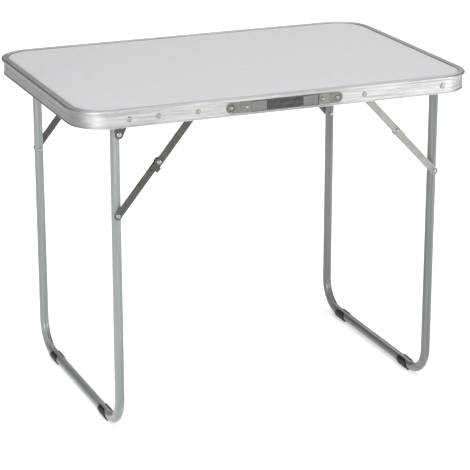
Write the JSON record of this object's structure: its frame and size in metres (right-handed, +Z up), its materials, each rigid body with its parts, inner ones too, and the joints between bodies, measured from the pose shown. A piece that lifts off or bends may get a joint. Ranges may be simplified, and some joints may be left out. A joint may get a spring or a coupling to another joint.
{
  "type": "folding table",
  "caption": "Folding camping table: a laminate top in a rounded aluminium edge frame, on two U-shaped tube legs that fold flat under it, with hinged braces and a carrying handle.",
  "frame": {"origin": "on the floor, below the centre of the top", "axes": "+X along the top's long edge, towards the leg frame that folds nearest the board; +Y away from the edge with the carrying handle; +Z up"},
  "size_m": [0.9, 0.6, 0.71],
  "materials": {
    "laminate": "satin melamine",
    "hardboard": "raw hardboard",
    "edge_aluminium": "brushed, anodised",
    "strap_plastic": "matt",
    "grip_rubber": "ribbed",
    "handle_plate_steel": "satin",
    "bracket_steel": "zinc plated",
    "left_leg_steel": "grey powder coat",
    "right_leg_steel": "grey powder coat",
    "foot_plastic": "moulded",
    "left_brace_steel": "zinc plated, dulled",
    "right_brace_steel": "zinc plated",
    "rivet_steel": "bright zinc",
    "washer_steel": "zinc plated"
  },
  "bodies": {
    "tabletop": {"board_core": "hardboard", "top_laminate": "laminate", "edge_profile": "edge_aluminium", "edge_joiner": "edge_aluminium", "handle_strap": "strap_plastic", "handle_grip": "grip_rubber", "handle_plate_left": "handle_plate_steel", "handle_plate_right": "handle_plate_steel", "handle_rivets": "rivet_steel", "left_bracket_front": "bracket_steel", "left_bracket_rear": "bracket_steel", "left_bracket_rivets": "rivet_steel", "left_pivot_rivets": "rivet_steel", "left_pivot_sleeves": "washer_steel", "left_anchor_rivets": "rivet_steel", "left_anchor_sleeves": "washer_steel", "right_pivot_rivets": "rivet_steel", "right_pivot_sleeves": "washer_steel", "right_anchor_rivets": "rivet_steel", "right_anchor_sleeves": "washer_steel"},
    "left_leg": {"left_leg_frame": "left_leg_steel", "left_foot_front": "foot_plastic", "left_foot_rear": "foot_plastic", "left_brace_rivets": "rivet_steel", "left_brace_washers": "washer_steel"},
    "left_front_lower_brace": {"left_front_lower_link": "left_brace_steel", "left_front_knee_rivet_tail": "rivet_steel"},
    "left_front_upper_brace": {"left_front_upper_link": "left_brace_steel", "left_front_knee_rivet_head": "rivet_steel", "left_front_knee_washer": "washer_steel"},
    "left_rear_lower_brace": {"left_rear_lower_link": "left_brace_steel", "left_rear_knee_rivet_tail": "rivet_steel"},
    "left_rear_upper_brace": {"left_rear_upper_link": "left_brace_steel", "left_rear_knee_rivet_head": "rivet_steel", "left_rear_knee_washer": "washer_steel"},
    "right_leg": {"right_leg_frame": "right_leg_steel", "right_foot_front": "foot_plastic", "right_foot_rear": "foot_plastic", "right_brace_rivets": "rivet_steel", "right_brace_washers": "washer_steel"},
    "right_front_lower_brace": {"right_front_lower_link": "right_brace_steel", "right_front_knee_rivet_tail": "rivet_steel"},
    "right_front_upper_brace": {"right_front_upper_link": "right_brace_steel", "right_front_knee_rivet_head": "rivet_steel", "right_front_knee_washer": "washer_steel"},
    "right_rear_lower_brace": {"right_rear_lower_link": "right_brace_steel", "right_rear_knee_rivet_tail": "rivet_steel"},
    "right_rear_upper_brace": {"right_rear_upper_link": "right_brace_steel", "right_rear_knee_rivet_head": "rivet_steel", "right_rear_knee_washer": "washer_steel"}
  },
  "joints": [
    {"name": "left_leg_fold", "type": "hinge", "parent": "tabletop", "child": "left_leg", "pos_m": [-0.361, 0, 0.659], "axis": [0, -1, 0], "range_deg": [0, 90]},
    {"name": "left_front_lower_brace_swing", "type": "hinge", "parent": "left_leg", "child": "left_front_lower_brace", "pos_m": [-0.361, -0.2776, 0.484], "axis": [0, -1, 0], "range_deg": [0, 26.39]},
    {"name": "left_front_upper_brace_swing", "type": "hinge", "parent": "tabletop", "child": "left_front_upper_brace", "pos_m": [-0.192, -0.2844, 0.69], "axis": [0, 1, 0], "range_deg": [0, 50.64]},
    {"name": "left_rear_lower_brace_swing", "type": "hinge", "parent": "left_leg", "child": "left_rear_lower_brace", "pos_m": [-0.361, 0.2776, 0.484], "axis": [0, -1, 0], "range_deg": [0, 26.39]},
    {"name": "left_rear_upper_brace_swing", "type": "hinge", "parent": "tabletop", "child": "left_rear_upper_brace", "pos_m": [-0.192, 0.2844, 0.69], "axis": [0, 1, 0], "range_deg": [0, 50.64]},
    {"name": "right_leg_fold", "type": "hinge", "parent": "tabletop", "child": "right_leg", "pos_m": [0.366, 0, 0.69], "axis": [0, 1, 0], "range_deg": [0, 90]},
    {"name": "right_front_lower_brace_swing", "type": "hinge", "parent": "right_leg", "child": "right_front_lower_brace", "pos_m": [0.366, -0.2716, 0.495], "axis": [0, 1, 0], "range_deg": [0, 43.34]},
    {"name": "right_front_upper_brace_swing", "type": "hinge", "parent": "tabletop", "child": "right_front_upper_brace", "pos_m": [0.182, -0.2784, 0.69], "axis": [0, -1, 0], "range_deg": [0, 46.67]},
    {"name": "right_rear_lower_brace_swing", "type": "hinge", "parent": "right_leg", "child": "right_rear_lower_brace", "pos_m": [0.366, 0.2716, 0.495], "axis": [0, 1, 0], "range_deg": [0, 43.34]},
    {"name": "right_rear_upper_brace_swing", "type": "hinge", "parent": "tabletop", "child": "right_rear_upper_brace", "pos_m": [0.182, 0.2784, 0.69], "axis": [0, -1, 0], "range_deg": [0, 46.67]}
  ],
  "couplings": [
    {"joint": "left_front_lower_brace_swing", "follows": "left_leg_fold", "ratio": 0.29314},
    {"joint": "left_front_upper_brace_swing", "follows": "left_leg_fold", "ratio": 0.56261},
    {"joint": "left_rear_lower_brace_swing", "follows": "left_leg_fold", "ratio": 0.29314},
    {"joint": "left_rear_upper_brace_swing", "follows": "left_leg_fold", "ratio": 0.56261},
    {"joint": "right_front_lower_brace_swing", "follows": "right_leg_fold", "ratio": 0.48153},
    {"joint": "right_front_upper_brace_swing", "follows": "right_leg_fold", "ratio": 0.51847},
    {"joint": "right_rear_lower_brace_swing", "follows": "right_leg_fold", "ratio": 0.48153},
    {"joint": "right_rear_upper_brace_swing", "follows": "right_leg_fold", "ratio": 0.51847}
  ]
}
